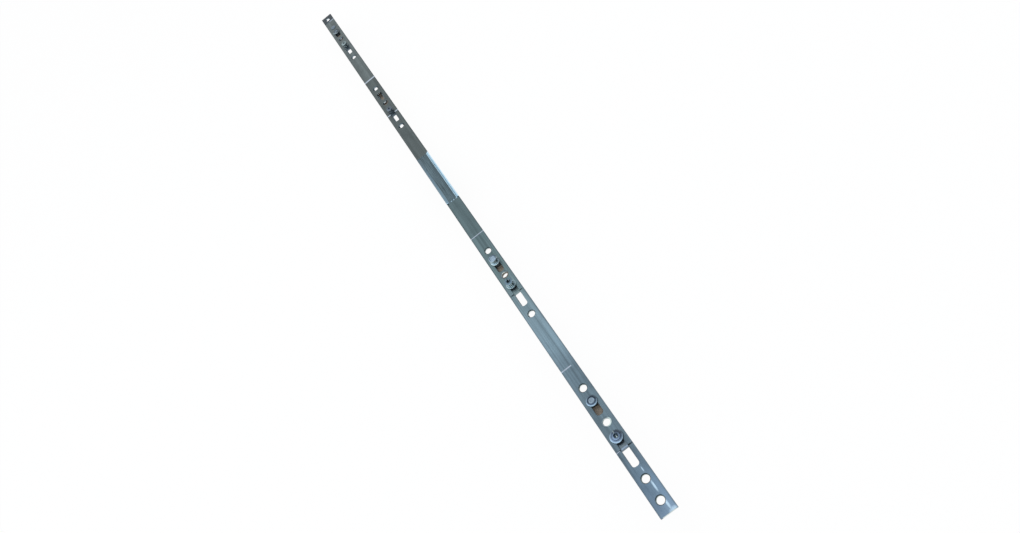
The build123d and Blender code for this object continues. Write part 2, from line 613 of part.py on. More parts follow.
def make_case_rivets():
    """Four rivets through the case; the upper two hold the cover's skirts as well."""
    places = [("low", LOW_RIVET_X, LOW_RIVET_Z, GROOVE_WIDTH)]
    places += [("high", HIGH_RIVET_X, HIGH_RIVET_Z, GROOVE_WIDTH + 2 * SKIRT_THICK)]
    for level, x, z, length in places:
        for side, place in (("far", -x), ("near", x)):
            with BuildPart() as rivet:
                with BuildSketch(Plane.XZ.offset(-length / 2)):
                    with Locations((place, z)):
                        Circle(CASE_RIVET_D / 2)
                extrude(amount=length)
            save(rivet.part, f"case_rivet_{level}_{side}")


def tooth_flank():
    """Half of one follower tooth, from the root circle to the tip, as radius and half angle."""
    base_r = PITCH_R * cos(radians(PRESSURE_ANGLE))
    root_r = PITCH_R - GEAR_DEDENDUM
    tip_r = PITCH_R + GEAR_MODULE
    alpha = radians(PRESSURE_ANGLE)
    half = (GEAR_MODULE * pi / 2 - TOOTH_THINNING) / 2 / PITCH_R + tan(alpha) - alpha
    points = [(root_r, half), (base_r, half)]
    steps = 5
    for count in range(1, steps + 1):
        radius = base_r + (tip_r - base_r) * count / steps
        angle = acos(base_r / radius)
        points.append((radius, half - (tan(angle) - angle)))
    return points


def make_follower():
    """The toothed follower with its hubs and square hole."""
    pitch = 2 * pi / FOLLOWER_TEETH
    flank = tooth_flank()
    outline = []
    for count in range(FOLLOWER_TEETH):
        middle = (count + 0.5) * pitch
        outline += [(radius, middle - half) for radius, half in flank]
        outline += [(radius, middle + half) for radius, half in reversed(flank)]
    points = [(radius * sin(angle), radius * cos(angle)) for radius, angle in outline]
    with BuildPart() as follower:
        with BuildSketch(Plane.XZ.offset(-RACK_WIDTH / 2)):
            with BuildLine():
                Polyline(*points, close=True)
            make_face()
        extrude(amount=RACK_WIDTH)
        with BuildSketch(Plane.XZ.offset(-CASE_HALF_WIDTH)):
            Circle(HUB_D / 2)
        extrude(amount=GROOVE_WIDTH)
        with BuildSketch(Plane.XZ.offset(-CASE_HALF_WIDTH)):
            Rectangle(SPINDLE, SPINDLE)
        extrude(amount=GROOVE_WIDTH, mode=Mode.SUBTRACT)
    save(follower.part, "follower")


make_end_tab()
make_strip()
make_splice("far_splice", FAR_SPLICE_RIVETS)
make_splice("near_splice", NEAR_SPLICE_RIVETS)
make_shoulder_rivets()
make_guides()
make_drive()
make_rollers()
make_eccentrics()
make_cover()
case_half("gearbox_case", -CASE_HALF_WIDTH, LID_FACE_Y, True)
case_half("gearbox_lid", LID_FACE_Y, CASE_HALF_WIDTH, False)
make_case_rivets()
make_follower()
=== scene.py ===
import math

import bmesh
import bpy
from mathutils import Euler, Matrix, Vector


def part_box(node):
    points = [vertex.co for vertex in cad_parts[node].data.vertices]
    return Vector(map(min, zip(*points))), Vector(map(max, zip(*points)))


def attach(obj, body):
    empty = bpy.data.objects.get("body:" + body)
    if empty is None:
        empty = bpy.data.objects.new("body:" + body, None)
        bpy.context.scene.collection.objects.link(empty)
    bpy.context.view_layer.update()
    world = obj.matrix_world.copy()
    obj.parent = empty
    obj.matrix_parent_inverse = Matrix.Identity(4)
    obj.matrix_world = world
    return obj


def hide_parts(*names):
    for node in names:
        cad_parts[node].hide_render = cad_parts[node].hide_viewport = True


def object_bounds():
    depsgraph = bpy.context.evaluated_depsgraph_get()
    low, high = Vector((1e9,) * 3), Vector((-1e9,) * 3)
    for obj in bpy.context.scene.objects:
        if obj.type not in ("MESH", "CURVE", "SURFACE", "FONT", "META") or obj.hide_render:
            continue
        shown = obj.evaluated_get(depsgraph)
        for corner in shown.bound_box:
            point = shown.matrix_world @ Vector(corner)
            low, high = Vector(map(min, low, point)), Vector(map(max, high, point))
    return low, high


bl_info = {
    "name": "Espagnolette Lock",
    "version": (1, 0, 0),
    "blender": (4, 5, 0),
    "location": "3D View > Sidebar > Espagnolette",
    "description": "Dresses a window espagnolette's frame with plated finishes and turned cams",
    "category": "Object",
}

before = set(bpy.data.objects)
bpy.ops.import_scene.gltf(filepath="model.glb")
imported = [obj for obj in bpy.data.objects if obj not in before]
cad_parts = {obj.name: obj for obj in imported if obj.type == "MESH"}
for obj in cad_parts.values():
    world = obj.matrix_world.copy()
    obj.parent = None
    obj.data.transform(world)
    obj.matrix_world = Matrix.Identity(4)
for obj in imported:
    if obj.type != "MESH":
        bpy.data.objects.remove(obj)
cad_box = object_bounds()

MM = 0.001
STATIONS = ("far_end", "far", "near", "near_end")
FACE_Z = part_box("near_end_faceplate")[1][2]  # the strip's face

# Steps of each cam from its base upwards: radius and thickness in mm, and 1 where an eccentric's
# step stands off its pin
LOW_ROLLER = ((5.15, 0.8, 1), (3.7, 0.8, 1))
LOW_ECCENTRIC = ((5.8, 0.9, 1), (3.8, 0.8, 1))
TALL_CAM = ((5.0, 0.9, 1), (3.6, 4.3, 1), (4.2, 1.5, 1))
MUSHROOM = ((3.2, 0.8, 0), (2.1, 4.0, 0), (3.7, 1.3, 1))
ROLLER_STEPS = {"far_end": LOW_ROLLER, "near": TALL_CAM, "near_end": LOW_ROLLER}
ECCENTRIC_STEPS = {
    "far_end": MUSHROOM, "far": MUSHROOM, "near": TALL_CAM, "near_end": LOW_ECCENTRIC,
}
CAM_EDGE = 0.3  # broken top edge, in mm

# Key sockets of the mushroom heads and of the wider cams: half width and depth in mm
SMALL_SOCKET = (1.25, 1.1)
WIDE_SOCKET = (1.75, 2.4)
SOCKET_SIDES = 6

# Profiles in mm. An eyelet's rim and a stud's head: radius, and depth below the top
EYELET_R = 3.4
EYELET_RIM = ((EYELET_R, 0.1), (3.5, 0.0), (4.5, 0.0), (4.5, 0.5), (3.8, 0.5))
STUD_HEAD = ((2.0, 0.8), (3.0, 0.8), (3.0, 0.3), (2.5, 0.0), (1.3, 0.0), (0.9, 0.2), (0.2, 0.2))
# The peened foot of an eccentric's pin: radius, and height above the foot
PIN_FOOT = ((0.4, 0.0), (3.5, 0.0), (3.5, 1.1), (2.6, 1.1))
PIN_R = 2.6
STUD_R = 2.0
STUD_COLLAR_R = 2.6
STUD_COLLAR_Z = -2.1  # from the strip's face
ROLLER_BORE_R = 2.05
ROLLER_SEAT_R = 3.2  # recess for the stud's head
ROLLER_SEAT_DEPTH = 0.95
ROLLER_PLAY = 0.05  # between a roller and its stud's collar
PIN_ROUND = 0.12
CAM_TOP_ROUND = 0.18

# Colours of a cam's top by the distance from its centre in mm: its tone, with painted shade in
# the key sockets and in dark rings, and painted highlights on bright rims and as glints in sockets
# Painted highlight on the low cams' outer rims
PAINTED_RIM_HIGHLIGHT = (0.25, 0.36, 0.46)
LOW_ROLLER_ZONES = (
    (0.0, (0.24, 0.34, 0.48)), (3.0, (0.2, 0.29, 0.42)), (3.2, (0.05, 0.08, 0.14)),
    (3.7, (0.06, 0.09, 0.15)), (3.9, (0.11, 0.17, 0.24)), (4.3, (0.12, 0.18, 0.25)),
    (4.7, PAINTED_RIM_HIGHLIGHT), (5.2, PAINTED_RIM_HIGHLIGHT),
)
LOW_ECCENTRIC_ZONES = (
    (0.0, (0.6, 0.74, 0.76)), (0.5, (0.5, 0.64, 0.66)), (0.8, (0.02, 0.03, 0.04)),
    (1.6, (0.03, 0.05, 0.07)), (2.1, (0.12, 0.18, 0.27)), (3.2, (0.15, 0.22, 0.33)),
    (3.6, (0.06, 0.09, 0.15)), (4.0, (0.1, 0.15, 0.22)), (4.8, (0.14, 0.2, 0.29)),
    (5.4, PAINTED_RIM_HIGHLIGHT), (5.9, PAINTED_RIM_HIGHLIGHT),
)
TALL_ROLLER_ZONES = (
    (0.0, (0.3, 0.4, 0.56)), (3.2, (0.26, 0.36, 0.5)), (4.2, (0.26, 0.36, 0.44)),
    (4.4, (0.38, 0.5, 0.54)), (5.1, (0.5, 0.64, 0.68)),
)
TALL_ECCENTRIC_ZONES = (
    (0.0, (0.3, 0.4, 0.42)), (0.7, (0.02, 0.03, 0.04)), (2.0, (0.07, 0.11, 0.14)),
    (2.4, (0.12, 0.19, 0.25)), (4.1, (0.15, 0.23, 0.29)), (4.4, (0.34, 0.46, 0.5)),
    (5.1, (0.48, 0.62, 0.66)),
)
MUSHROOM_ZONES = (
    (0.0, (0.07, 0.09, 0.12)), (1.3, (0.09, 0.12, 0.16)), (2.0, (0.1, 0.13, 0.18)),
    (3.3, (0.11, 0.145, 0.19)), (3.7, (0.14, 0.18, 0.22)),
)
FAR_END_MUSHROOM_ZONES = (
    (0.0, (0.14, 0.19, 0.22)), (1.3, (0.16, 0.21, 0.24)), (2.0, (0.2, 0.26, 0.28)),
    (3.7, (0.3, 0.4, 0.42)),
)
FAR_END_ROLLER_ZONES = (
    (0.0, (0.12, 0.15, 0.17)), (3.0, (0.11, 0.14, 0.15)), (3.9, (0.09, 0.11, 0.12)),
    (4.2, (0.14, 0.18, 0.2)), (5.2, (0.2, 0.26, 0.3)),
)
ROLLER_ZONES = {
    "far_end": FAR_END_ROLLER_ZONES, "near": TALL_ROLLER_ZONES, "near_end": LOW_ROLLER_ZONES,
}
ECCENTRIC_ZONES = {
    "far_end": FAR_END_MUSHROOM_ZONES, "far": MUSHROOM_ZONES,
    "near": TALL_ECCENTRIC_ZONES, "near_end": LOW_ECCENTRIC_ZONES,
}
ZONES_REACH = 7  # radius in mm at the end of the zones' colour ramp
# Painted reflections: dark and bright stripes on the round sides of the cams
FAR_CAM_SIDE_REFLECTIONS = ((0.01, 0.015, 0.015), (0.42, 0.52, 0.56))
CAM_SIDE_REFLECTIONS = {
    "far_end": FAR_CAM_SIDE_REFLECTIONS,
    "far": FAR_CAM_SIDE_REFLECTIONS,
    "near": ((0.015, 0.03, 0.035), (0.72, 0.88, 0.92)),
    "near_end": ((0.05, 0.08, 0.11), (0.25, 0.36, 0.46)),
}
# Painted light on the cams' flats: how dark and how bright they are at opposite sides
CAM_LIGHT = (0.35, 1.5)
LOW_ECCENTRIC_LIGHT = (0.3, 1.45)
SOFT_CAM_LIGHT = (0.8, 1.25)
# Painted light: the studs' colour made lighter or darker at each station
STUD_LIGHT_LEVELS = {"far_end": 0.7, "near": 1.45, "near_end": 0.95}

# Painted highlights near the strip's near end: centre, half length and half width in mm
GLINTS = (
    (410.0, 2.2, 2.4, 0.5), (426.0, 2.4, 5.4, 0.9), (442.5, 2.9, 5.5, 1.1), (449.5, 4.6, 3.0, 4.2),
)
GLINT_COLOUR = (0.42, 0.57, 0.7)

# Lines across the strip that catch the light: x, width, and the span of y, in mm
BRIGHT_LINES = (
    (-417.4, 1.3, 0.5, 8.0), (-234.0, 2.2, -8.0, 8.0), (107.0, 1.2, -8.0, 8.0),
    (298.0, 1.2, -8.0, 2.4), (-145.5, 1.6, -8.0, 8.0), (387.5, 0.8, -8.0, -4.5),
)

# Painted light and painted shade in holes: walls facing the near end and walls beside them,
# then countersinks at the far side of a hole, beside it and at its near side
FAR_WALLS = (
    (0.8, 0.9, 0.96), (0.06, 0.1, 0.13),
    (0.09, 0.13, 0.16), (0.055, 0.085, 0.1), (0.15, 0.125, 0.1),
)
NEAR_WALLS = (
    (0.55, 0.64, 0.64), (0.28, 0.36, 0.37),
    (0.03, 0.045, 0.05), (0.16, 0.21, 0.22), (0.08, 0.08, 0.08),
)
# The far end's eyelet has a painted highlight on its walls
FAR_END_EYELET = ((0.7, 0.85, 0.98), (0.3, 0.4, 0.52), *FAR_WALLS[2:])
SHADED_WALL = (0.015, 0.02, 0.022)
NEAR_SLOTS = ((333.0, 352.5), (371.5, 407.0))  # slots with shaded walls, in mm along X
HOLE_REACH = (0.0058, 0.0064)  # from the strip's middle; nothing further out is a hole's wall

# Painted light and shade along the near end's plate: tints by X in mm
NEAR_LEVELS = (
    (107, (0.78, 0.84, 0.77)), (165, (0.86, 0.93, 0.83)), (200, (1.0, 1.05, 0.98)),
    (232, (1.12, 1.17, 1.16)), (272, (1.08, 1.15, 1.17)), (290, (0.78, 0.82, 0.84)),
    (318, (0.66, 0.7, 0.72)), (360, (0.62, 0.65, 0.66)), (400, (0.62, 0.66, 0.7)),
    (425, (0.63, 0.68, 0.72)), (449, (0.8, 0.82, 0.84)),
)
# Painted reflection: the near end turns bluer and lighter towards the end and at the +Y side
BLUE_END_X = (0.393, 0.449)  # where the plate turns bluer
# Painted reflection: darker at the -Y side, lighter at the +Y side
BLUE_SIDES = ((0.155, 0.225, 0.32), (0.225, 0.33, 0.47))
# Painted shade along the strip's long edges
SHADED_PLATE_RIM = (0.0066, 0.0078)  # the darker rim, from the strip's middle

# The cover: where its folded lips with their painted highlight begin across it, the top of its
# skirts, its tooth line with a painted highlight
LIP_FROM = (0.0049, 0.0051)
SKIRT_TOP = (0.0128, 0.0136)
TOOTH_LINE_X = 0.0442
COVER_END_X = 0.045

# Painted highlights on the rod: x, half width, where it has faded out, how strong it is, and colour
ROD_GLINTS = (
    (0.3864, 0.0003, 0.001, 0.8, (0.25, 0.34, 0.46)),
    (0.1945, 0.002, 0.0032, 0.85, (0.26, 0.35, 0.36)),
)

# Spans of the far guide whose upward faces stay lighter, in mm along X
LIGHTER_SPANS = ((-204.5, -197.8), (-192.8, -164.0))

# Softboxes: name, place, target, size and power
SOFTBOXES = (
    ("Overhead softbox", (-0.15, -0.15, 1.3), (0.2, 0.0, 0.0), (0.9, 0.5), 1.1),
    ("Side softbox", (0.3, -1.3, 0.9), (0.1, 0.0, 0.0), (0.9, 0.6), 0.6),
    ("Near softbox", (1.4, 0.9, 0.9), (0.2, 0.0, 0.0), (0.7, 0.7), 0.5),
)
FLOOR_REACH = 6.0
FLOOR_GLOW = 1.03
FLOOR_GLOW_SHARE = 0.9
WORLD_COLOUR = (0.95, 0.97, 1.0, 1.0)
WORLD_STRENGTH = 0.75


# Settings


def colour_setting(name, description, default):
    return bpy.props.FloatVectorProperty(
        name=name, description=description, default=default,
        size=3, min=0.0, max=1.0, subtype="COLOR",
    )


def length_setting(name, description, default):
    return bpy.props.FloatProperty(
        name=name, description=description, default=default,
        min=0.0, subtype="DISTANCE", unit="LENGTH",
    )


class EspagnoletteFinish(bpy.types.PropertyGroup):
    """Colours of the plated and plastic surfaces"""

    near_plate: colour_setting("Near plate", "Zinc plate of the near end", (0.14, 0.195, 0.235))
    middle_plate: colour_setting(
        "Middle plate", "Zinc plate beside the gearbox cover", (0.105, 0.155, 0.17)
    )
    far_plate: colour_setting("Far plate", "Zinc plate of the far half", (0.094, 0.117, 0.121))
    # The tab's darker zinc is painted shade, as the tab lies below the strip's face
    end_tab: colour_setting("End tab", "Zinc plate of the far end tab", (0.05, 0.066, 0.078))
    cover_floor: colour_setting(
        "Cover floor", "Sunk floor of the gearbox cover", (0.092, 0.137, 0.162)
    )
    # The lips' colour is a painted highlight
    cover_lip_highlight: colour_setting("Cover lips", "Bright flared lips of the cover", (0.55, 0.8, 0.97))
    rivet: colour_setting("Rivets", "Rivets and studs", (0.2, 0.27, 0.34))
    rod: colour_setting("Rod", "Drive rod behind the strip", (0.12, 0.16, 0.19))
    case: colour_setting("Case", "Gearbox case and splices", (0.26, 0.29, 0.31))
    guide: colour_setting("Guides", "Plastic rod guides", (0.36, 0.3, 0.235))
    line: colour_setting(
        "Lines", "Seams and scored lines that catch the light", (0.5, 0.58, 0.68)
    )


class EspagnoletteSizes(bpy.types.PropertyGroup):
    """Sizes of the details that the dressing adds"""

    edge_round: length_setting("Edge round", "Rounding of the sheared sheet edges", 0.00012)
    cam_round: length_setting("Cam round", "Rounding of the rollers and eyelets", 0.0003)
    cam_offset: length_setting(
        "Cam offset", "How far an eccentric cam stands off its pin's axis", 0.0006
    )


class EspagnoletteStage(bpy.types.PropertyGroup):
    """Camera and floor"""

    camera_place: bpy.props.FloatVectorProperty(
        name="Camera place", description="Where the camera stands",
        default=(0.64776, 0.0533, 0.58089), size=3, subtype="XYZ", unit="LENGTH",
    )
    camera_turn: bpy.props.FloatVectorProperty(
        name="Camera turn", description="Camera's rotation",
        default=(math.radians(32.2881), math.radians(25.8429), math.radians(60.6694)),
        size=3, subtype="EULER",
    )
    lens: bpy.props.FloatProperty(
        name="Lens", description="Focal length in millimetres on a 36 mm wide sensor",
        default=27.001, unit="CAMERA",
    )
    floor: colour_setting("Floor", "Plain pale floor", (0.9, 0.9, 0.9))


# Materials


class Nodes:
    """Short calls for building one material's node tree."""

    def __init__(self, name):
        self.material = bpy.data.materials.new(name)
        self.material.use_nodes = True
        self.tree = self.material.node_tree
        self.tree.nodes.clear()
        self.output = self.add("ShaderNodeOutputMaterial")
        self.shader = self.add("ShaderNodeBsdfPrincipled")
        self.link(self.shader.outputs[0], self.output.inputs[0])
        self.texture = self.add("ShaderNodeTexCoord")
        self.place = self.texture.outputs["Object"]

    def add(self, kind, **values):
        node = self.tree.nodes.new(kind)
        for key, value in values.items():
            setattr(node, key, value)
        return node

    def link(self, source, target):
        self.tree.links.new(source, target)

    def set(self, socket, value):
        """Gives a socket a number or a colour, or links it."""
        if isinstance(value, (int, float)):
            socket.default_value = value
        elif isinstance(value, tuple):
            socket.default_value = (*value, 1.0)
        else:
            self.link(value, socket)

    def parts(self, vector):
        split = self.add("ShaderNodeSeparateXYZ")
        self.link(vector, split.inputs[0])
        return split.outputs

    def facing(self):
        """The parts of the surface's own direction on the object."""
        return self.parts(self.texture.outputs["Normal"])

    def stretched(self, scale):
        mapping = self.add("ShaderNodeMapping")
        mapping.inputs["Scale"].default_value = scale
        self.link(self.place, mapping.inputs["Vector"])
        return mapping.outputs[0]

    def noise(self, vector, scale, detail=4.0, rough=0.6):
        node = self.add("ShaderNodeTexNoise")
        node.inputs["Scale"].default_value = scale
        node.inputs["Detail"].default_value = detail
        node.inputs["Roughness"].default_value = rough
        self.link(vector, node.inputs["Vector"])
        return node.outputs["Fac"]

    def ramp(self, value, low, high, from_value=0.0, to_value=1.0):
        node = self.add("ShaderNodeMapRange")
        limits = {"From Min": low, "From Max": high, "To Min": from_value, "To Max": to_value}
        for key, number in limits.items():
            node.inputs[key].default_value = number
        self.link(value, node.inputs["Value"])
        return node.outputs[0]

    def math(self, operation, first, second=0.0):
        node = self.add("ShaderNodeMath", operation=operation)
        self.set(node.inputs[0], first)
        self.set(node.inputs[1], second)
        return node.outputs[0]

    def mix(self, factor, first, second, blend="MIX"):
        node = self.add("ShaderNodeMix", data_type="RGBA", blend_type=blend)
        self.set(node.inputs[0], factor)
        self.set(node.inputs[6], first)
        self.set(node.inputs[7], second)
        return node.outputs[2]

    def away(self, value, middle):
        """Distance from the middle, whichever side it is on."""
        return self.math("ABSOLUTE", self.math("SUBTRACT", value, middle))

    def span(self, value, low, high, fade):
        """One from low to high in mm, and zero from a fade further out."""
        half = (high - low) / 2
        away = self.away(value, (low + high) / 2 * MM)
        return self.ramp(away, half * MM, (half + fade) * MM, 1.0, 0.0)

    def colours(self, value, stops):
        """A colour ramp through stops of (position, colour)."""
        node = self.add("ShaderNodeValToRGB")
        points = node.color_ramp.elements
        while len(points) < len(stops):
            points.new(0.5)
        for point, (position, colour) in zip(points, stops):
            point.position = position
            point.color = (*colour, 1.0)
        self.link(value, node.inputs[0])
        return node.outputs[0]

    def bump(self, height, strength, distance):
        node = self.add("ShaderNodeBump")
        node.inputs["Strength"].default_value = strength
        node.inputs["Distance"].default_value = distance
        self.link(height, node.inputs["Height"])
        self.link(node.outputs[0], self.shader.inputs["Normal"])

    def finish(self, base, metallic, roughness):
        """Gives the shader its colour, metal and roughness, and returns the material."""
        self.link(base, self.shader.inputs["Base Color"])
        self.shader.inputs["Metallic"].default_value = metallic
        self.set(self.shader.inputs["Roughness"], roughness)
        return self.material


def shade(colour, factor):
    return tuple(min(1.0, channel * factor) for channel in colour)


def line_mask(nodes):
    """One where a surface lies on one of the strip's bright lines, else zero."""
    along, across, _ = nodes.parts(nodes.place)
    mask = 0.0
    for x, width, low, high in BRIGHT_LINES:
        away = nodes.away(along, x * MM)
        near = nodes.ramp(away, width * 0.3 * MM, width * 0.7 * MM, 1.0, 0.0)
        inside = nodes.span(across, low, high, 0.6)
        mask = nodes.math("MAXIMUM", nodes.math("MULTIPLY", near, inside), mask)
    return mask


def glint_mask(nodes):
    """One on the painted highlights near the strip's near end, else zero."""
    along, across, _ = nodes.parts(nodes.place)
    mask = 0.0
    for x, y, reach, width in GLINTS:
        ahead = nodes.math("DIVIDE", nodes.math("SUBTRACT", along, x * MM), reach * MM)
        beside = nodes.math("DIVIDE", nodes.math("SUBTRACT", across, y * MM), width * MM)
        spread = nodes.math(
            "ADD", nodes.math("POWER", ahead, 2.0), nodes.math("POWER", beside, 2.0)
        )
        mask = nodes.math("MAXIMUM", nodes.ramp(spread, 0.1, 1.4, 1.0, 0.0), mask)
    return mask


def hole_walls(nodes, base, looks, shaded=()):
    """Tints the walls of holes and their countersinks by the way they face: painted light and
    shade.
    """
    wall, wall_side, sink_far, sink_side, sink_near = looks
    facing_x, _, facing_z = nodes.facing()
    along, across, _ = nodes.parts(nodes.place)
    tilt = nodes.math("ABSOLUTE", facing_z)
    inside = nodes.ramp(nodes.math("ABSOLUTE", across), *HOLE_REACH, 1.0, 0.0)
    upright = nodes.mix(nodes.ramp(facing_x, 0.82, 0.95), wall_side, wall)
    for low, high in shaded:
        upright = nodes.mix(nodes.span(along, low, high, 0.3), upright, SHADED_WALL)
    sloped = nodes.mix(nodes.ramp(facing_x, 0.2, 0.5), sink_side, sink_far)
    sloped = nodes.mix(nodes.ramp(facing_x, -0.2, -0.5), sloped, sink_near)
    inner = nodes.mix(nodes.ramp(tilt, 0.3, 0.55), upright, sloped)
    steep = nodes.ramp(tilt, 0.76, 0.9, 1.0, 0.0)
    return nodes.mix(nodes.math("MULTIPLY", steep, inside), base, inner)


def along_levels(nodes, along, levels):
    """The painted light and shade that belongs to a place along X; the ramp holds half of it, as
    some pass one.
    """
    first, last = levels[0][0], levels[-1][0]
    place = nodes.ramp(along, first * MM, last * MM)
    stops = [((x - first) / (last - first), shade(level, 0.5)) for x, level in levels]
    return nodes.mix(1.0, nodes.colours(place, stops), (2.0, 2.0, 2.0), "MULTIPLY")


def near_end_tints(nodes, base, colour, fine, broad):
    """The near end's painted reflection, bluer and lighter towards the end and the +Y side, its
    painted light and shade along X, and its painted highlights.
    """
    along, across, _ = nodes.parts(nodes.place)
    bluer = nodes.mix(nodes.ramp(across, -0.003, 0.004), *BLUE_SIDES)
    bluer = nodes.mix(nodes.ramp(fine, 0.42, 0.62, 0.0, 0.6), bluer, shade(colour, 1.5))
    bluer = nodes.mix(nodes.ramp(broad, 0.5, 0.62, 0.0, 0.4), bluer, shade(colour, 0.8))
    base = nodes.mix(nodes.ramp(along, *BLUE_END_X), base, bluer)
    base = nodes.mix(1.0, base, along_levels(nodes, along, NEAR_LEVELS), "MULTIPLY")
    painted_glints = nodes.math("MULTIPLY", glint_mask(nodes), nodes.ramp(fine, 0.3, 0.55, 0.35, 1.0))
    return nodes.mix(painted_glints, base, GLINT_COLOUR)


def brushed_zinc(name, colour, streak, roughness, line=None, walls=None, near_end=False, glints=()):
    """Zinc plate with drawing streaks along X, cloudy passivation and painted shade along its long
    edges; where asked, painted light on the near end, painted highlights, painted light and shade
    in hole walls, and bright lines.
    """
    nodes = Nodes(name)
    fine = nodes.noise(nodes.stretched((18.0, 2600.0, 2600.0)), 1.0, 5.0)
    broad = nodes.noise(nodes.stretched((7.0, 420.0, 420.0)), 1.0, 3.0, 0.5)
    cloud = nodes.noise(nodes.stretched((60.0, 110.0, 110.0)), 1.0)
    speck = nodes.noise(nodes.place, 1900.0, 2.0, 0.5)
    along, across, _ = nodes.parts(nodes.place)
    dull, bright = shade(colour, 1 - streak * 0.7), shade(colour, 1 + streak)
    base = nodes.mix(nodes.ramp(broad, 0.36, 0.66), dull, bright)
    base = nodes.mix(nodes.ramp(fine, 0.3, 0.72, 0.0, 0.5), base, shade(colour, 1.2))
    base = nodes.mix(nodes.ramp(cloud, 0.5, 0.75, 0.0, 0.35), base, shade(colour, 0.72))
    if near_end:
        base = near_end_tints(nodes, base, colour, fine, broad)
    base = nodes.mix(nodes.ramp(speck, 0.66, 0.74, 0.0, 0.3), base, shade(colour, 1.7))
    for x, half, faded, strength, glint in glints:
        shine = nodes.ramp(nodes.away(along, x), half, faded, strength, 0.0)
        base = nodes.mix(shine, base, glint)
    if line:
        # Painted shade along the strip's long edges
        rim = nodes.ramp(nodes.math("ABSOLUTE", across), *SHADED_PLATE_RIM, 0.0, 0.6)
        base = nodes.mix(rim, base, shade(colour, 0.6))
    if walls:
        base = hole_walls(nodes, base, walls, NEAR_SLOTS if near_end else ())
    if line:
        base = nodes.mix(line_mask(nodes), base, line)
    nodes.shader.inputs["Anisotropic"].default_value = 0.4
    nodes.bump(nodes.math("ADD", fine, nodes.math("MULTIPLY", cloud, 0.6)), 0.35, 0.00006)
    rough = nodes.ramp(cloud, 0.3, 0.7, roughness - 0.06, roughness + 0.1)
    return nodes.finish(base, 0.9, rough)


def folded_cover_zinc(name, floor, lip):
    """The cover's zinc: dull streaked floor with painted shade beside the +Y lip, a painted
    highlight on the lips where the sheet folds up, fainter on the -Y lip, and a painted highlight
    along the tooth line.
    """
    nodes = Nodes(name)
    along, across, height = nodes.parts(nodes.place)
    fine = nodes.noise(nodes.stretched((30.0, 2200.0, 2200.0)), 1.0, 5.0)
    cloud = nodes.noise(nodes.stretched((90.0, 260.0, 260.0)), 1.0)
    dull = nodes.mix(nodes.ramp(fine, 0.38, 0.64), shade(floor, 0.5), shade(floor, 1.7))
    dull = nodes.mix(nodes.ramp(cloud, 0.48, 0.7, 0.0, 0.5), dull, shade(floor, 1.5))
    # Painted shade on the floor beside the +Y lip
    dull = nodes.mix(nodes.ramp(across, 0.0015, 0.0045, 0.0, 0.55), dull, shade(floor, 0.6))
    # Painted highlight on the +Y lip; painted shade on the -Y lip, lighter towards the near end
    bright = nodes.mix(nodes.ramp(cloud, 0.45, 0.75), lip, shade(lip, 0.9))
    soft = nodes.mix(
        nodes.ramp(along, -COVER_END_X, COVER_END_X), shade(lip, 0.22), shade(lip, 0.42)
    )
    bright = nodes.mix(nodes.ramp(across, -0.0001, 0.0001), soft, bright)
    skirt = nodes.mix(nodes.ramp(fine, 0.35, 0.66), (0.2, 0.25, 0.28), (0.3, 0.36, 0.4))
    bright = nodes.mix(nodes.ramp(height, *SKIRT_TOP), skirt, bright)
    base = nodes.mix(nodes.ramp(nodes.math("ABSOLUTE", across), *LIP_FROM), dull, bright)
    jagged = nodes.ramp(nodes.noise(nodes.place, 520.0, 2.0, 0.5), 0.52, 0.58)
    # Painted highlight along the cover's toothed end
    tooth = nodes.ramp(nodes.away(along, TOOTH_LINE_X), 0.0006, 0.0014, 1.0, 0.0)
    base = nodes.mix(nodes.math("MULTIPLY", tooth, jagged), base, lip)
    nodes.bump(nodes.math("ADD", fine, nodes.math("MULTIPLY", cloud, 0.8)), 0.35, 0.00006)
    return nodes.finish(base, 0.9, nodes.ramp(cloud, 0.3, 0.7, 0.22, 0.36))


def turned_steel(name, colour, roughness):
    """Plated steel of rivets and studs, with a cloudy finish."""
    nodes = Nodes(name)
    cloud = nodes.noise(nodes.place, 420.0)
    base = nodes.mix(nodes.ramp(cloud, 0.35, 0.68), shade(colour, 0.7), shade(colour, 1.4))
    nodes.bump(cloud, 0.3, 0.00005)
    rough = nodes.ramp(cloud, 0.3, 0.7, roughness - 0.08, roughness + 0.08)
    return nodes.finish(base, 0.9, rough)


